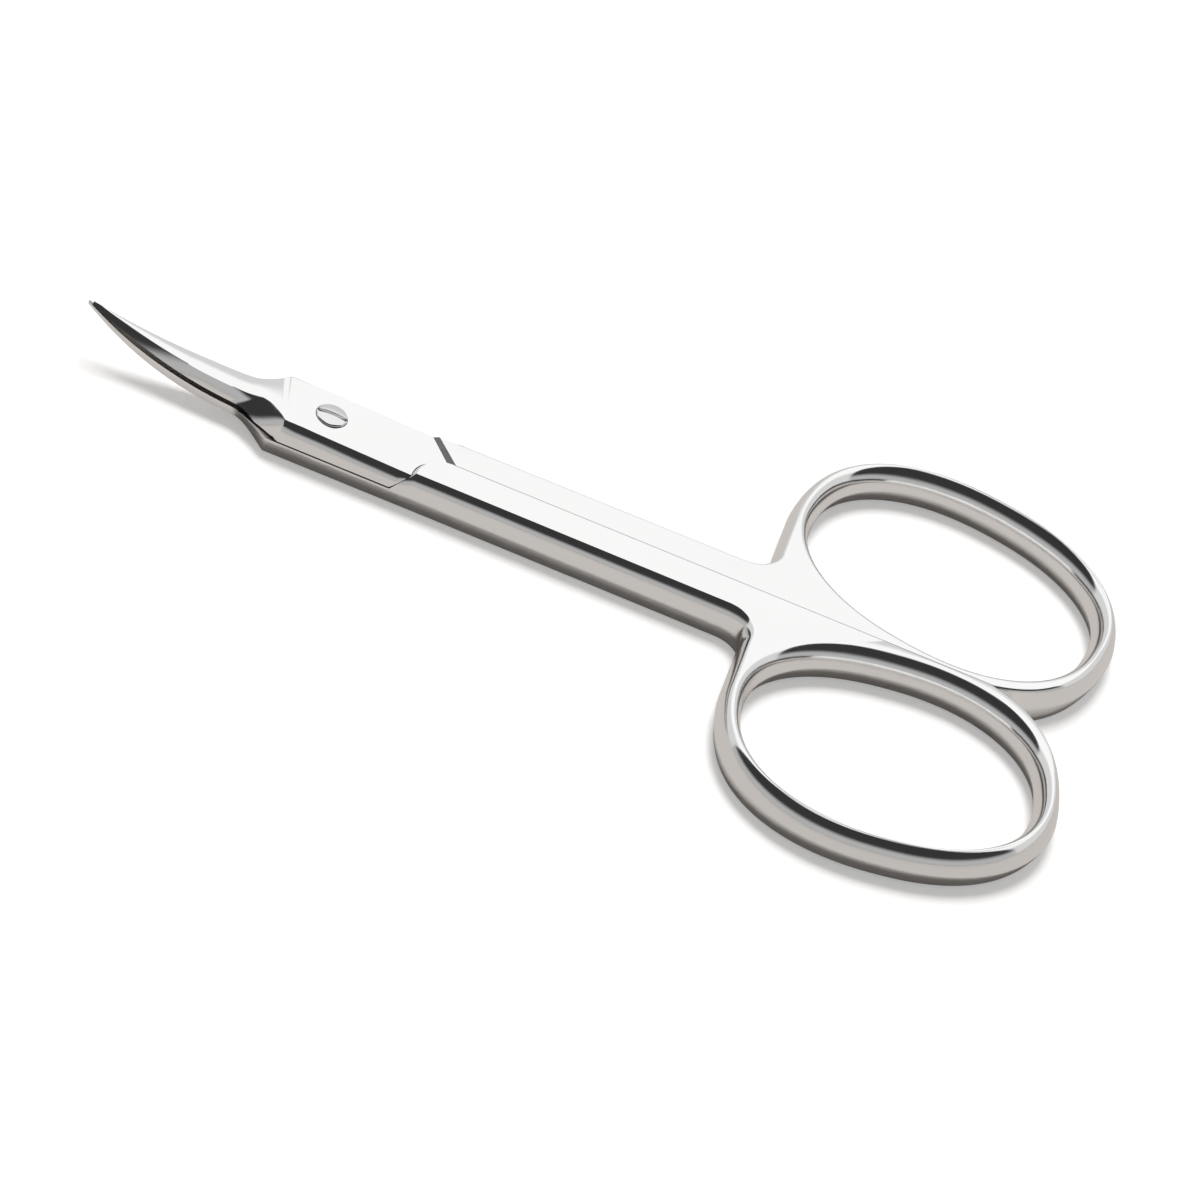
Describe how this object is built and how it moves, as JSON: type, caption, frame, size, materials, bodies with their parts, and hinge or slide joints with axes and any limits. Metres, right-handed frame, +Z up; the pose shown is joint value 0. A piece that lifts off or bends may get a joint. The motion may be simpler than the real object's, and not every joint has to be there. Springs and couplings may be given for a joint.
{
  "type": "manicure scissors",
  "caption": "Slim polished steel scissors with short upward curved blades, a half-lap joint with a slotted screw, and oval finger rings.",
  "frame": {"origin": "middle of the length and width, on the plane that the shanks and rings rest on", "axes": "+X from the pivot towards the finger rings, +Z up along the pivot axis, out of the screw's head"},
  "size_m": [0.0916, 0.0498, 0.0057],
  "materials": {
    "upper_steel": "polished",
    "lower_steel": "polished",
    "screw_steel": "turned and polished"
  },
  "bodies": {
    "lower": {"lower_half": "lower_steel", "pivot_screw": "screw_steel"},
    "upper": {"upper_half": "upper_steel"}
  },
  "joints": [
    {"name": "pivot", "type": "hinge", "parent": "lower", "child": "upper", "pos_m": [-0.02325, 0, 0.002], "axis": [0, 0, 1], "range_deg": [0, 65]}
  ]
}
